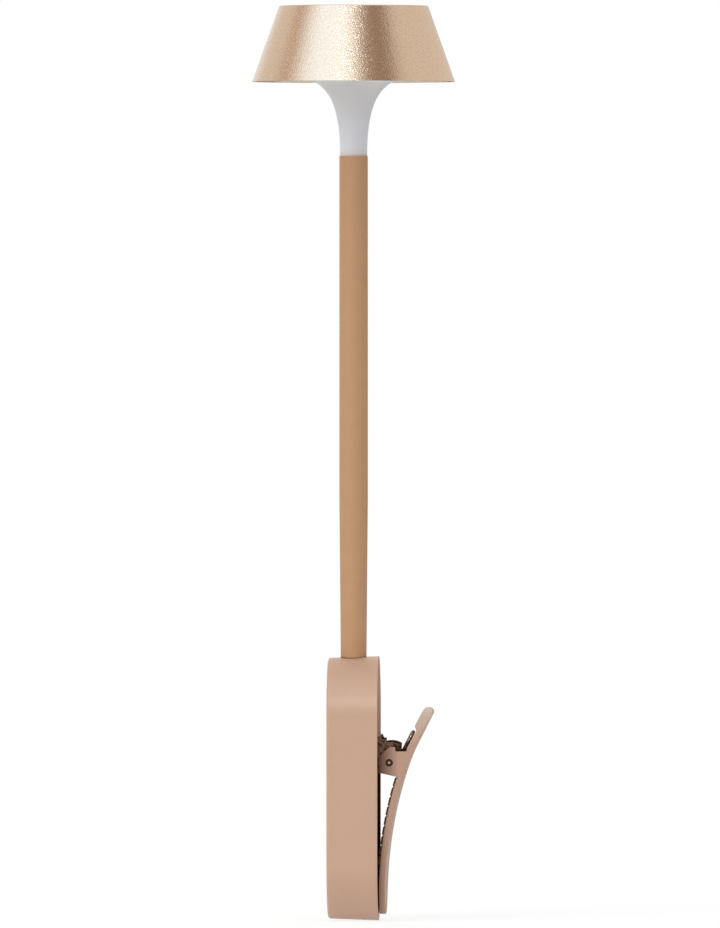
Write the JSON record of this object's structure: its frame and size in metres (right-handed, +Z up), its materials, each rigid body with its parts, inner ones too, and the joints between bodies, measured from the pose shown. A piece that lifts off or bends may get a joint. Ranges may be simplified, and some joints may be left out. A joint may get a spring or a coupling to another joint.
{
  "type": "clip on reading lamp",
  "caption": "Clip-on reading lamp with a flared round shade, a bendable sleeved stem and a flat rounded housing with a sprung clip lever on one side",
  "frame": {"origin": "on the stem's axis, level with the lowest point of the housing's round lower end", "axes": "+Z up along the stem to the shade, +X from the housing towards its clip lever, +Y completes the frame"},
  "size_m": [0.0676, 0.0676, 0.3049],
  "materials": {
    "housing": "soft satin paint",
    "lever_paint": "satin paint",
    "champagne": "bead-blasted, anodised",
    "frosted": "frosted translucent",
    "silicone": "smooth matt silicone",
    "dark_rubber": "matt",
    "bronze": "antique bronze plating",
    "steel": "zinc plated",
    "brass": "turned",
    "board": "solder mask",
    "white_board": "white solder mask",
    "black_plastic": "moulded",
    "cell_wrap": "laminate pouch",
    "foam": "foam tape",
    "phosphor": "phosphor",
    "insulation": "wire insulation"
  },
  "bodies": {
    "base": {"front_shell": "housing", "back_cover": "housing", "cover_screws": "steel", "jaw_pad": "dark_rubber", "control_board": "board", "tact_switch": "black_plastic", "usb_socket": "steel", "battery_cell": "cell_wrap", "battery_tape": "foam", "neck_ferrule": "brass", "neck_nut": "steel", "clip_bracket": "bronze", "bracket_rivets": "bronze", "hinge_pin": "bronze", "clip_spring": "bronze", "lamp_leads": "insulation", "neck_sleeve_0": "silicone", "neck_core_0": "steel"},
    "button": {"power_button": "housing", "switch_plunger": "black_plastic"},
    "lever": {"clip_lever": "lever_paint", "lever_grip": "dark_rubber"},
    "neck_1": {"neck_sleeve_1": "silicone", "neck_core_1": "steel"},
    "neck_2": {"neck_sleeve_2": "silicone", "neck_core_2": "steel"},
    "neck_3": {"neck_sleeve_3": "silicone", "neck_core_3": "steel"},
    "neck_4": {"neck_sleeve_4": "silicone", "neck_core_4": "steel"},
    "neck_5": {"neck_sleeve_5": "silicone", "neck_core_5": "steel"},
    "neck_6": {"neck_sleeve_6": "silicone", "neck_core_6": "steel"},
    "neck_7": {"neck_sleeve_7": "silicone", "neck_core_7": "steel"},
    "head": {"neck_sleeve_8": "silicone", "neck_core_8": "steel", "head_post": "brass", "lamp_shade": "champagne", "diffuser": "frosted", "led_board": "white_board", "leds": "phosphor", "board_screws": "steel"}
  },
  "joints": [
    {"name": "lever_pivot", "type": "hinge", "parent": "base", "child": "lever", "pos_m": [0.01237, 0, 0.05305], "axis": [0, -1, 0], "range_deg": [0, 22], "stiffness_Nm_per_rad": 0.2, "springref_deg": -22.92, "deforming": ["clip_spring"]},
    {"name": "button_press", "type": "slide", "parent": "base", "child": "button", "axis": [1, 0, 0], "range_m": [0, 0.0005], "stiffness_N_per_m": 300, "springref_m": -0.0012},
    {"name": "neck_bend_1", "type": "hinge", "parent": "base", "child": "neck_1", "pos_m": [0, 0, 0.0981], "axis": [0, 1, 0], "range_deg": [-22.5, 22.5], "deforming": ["lamp_leads"]},
    {"name": "neck_sway_1", "type": "hinge", "parent": "neck_1", "child": "neck_2", "pos_m": [0, 0, 0.11905], "axis": [1, 0, 0], "range_deg": [-22.5, 22.5], "deforming": ["lamp_leads"]},
    {"name": "neck_bend_2", "type": "hinge", "parent": "neck_2", "child": "neck_3", "pos_m": [0, 0, 0.14], "axis": [0, 1, 0], "range_deg": [-22.5, 22.5], "deforming": ["lamp_leads"]},
    {"name": "neck_sway_2", "type": "hinge", "parent": "neck_3", "child": "neck_4", "pos_m": [0, 0, 0.16095], "axis": [1, 0, 0], "range_deg": [-22.5, 22.5], "deforming": ["lamp_leads"]},
    {"name": "neck_bend_3", "type": "hinge", "parent": "neck_4", "child": "neck_5", "pos_m": [0, 0, 0.1819], "axis": [0, 1, 0], "range_deg": [-22.5, 22.5], "deforming": ["lamp_leads"]},
    {"name": "neck_sway_3", "type": "hinge", "parent": "neck_5", "child": "neck_6", "pos_m": [0, 0, 0.20285], "axis": [1, 0, 0], "range_deg": [-22.5, 22.5], "deforming": ["lamp_leads"]},
    {"name": "neck_bend_4", "type": "hinge", "parent": "neck_6", "child": "neck_7", "pos_m": [0, 0, 0.2238], "axis": [0, 1, 0], "range_deg": [-22.5, 22.5], "deforming": ["lamp_leads"]},
    {"name": "neck_sway_4", "type": "hinge", "parent": "neck_7", "child": "head", "pos_m": [0, 0, 0.24475], "axis": [1, 0, 0], "range_deg": [-22.5, 22.5], "deforming": ["lamp_leads"]}
  ],
  "couplings": [
    {"joint": "neck_bend_2", "follows": "neck_bend_1", "ratio": 1},
    {"joint": "neck_sway_2", "follows": "neck_sway_1", "ratio": 1},
    {"joint": "neck_bend_3", "follows": "neck_bend_1", "ratio": 1},
    {"joint": "neck_sway_3", "follows": "neck_sway_1", "ratio": 1},
    {"joint": "neck_bend_4", "follows": "neck_bend_1", "ratio": 1},
    {"joint": "neck_sway_4", "follows": "neck_sway_1", "ratio": 1}
  ]
}
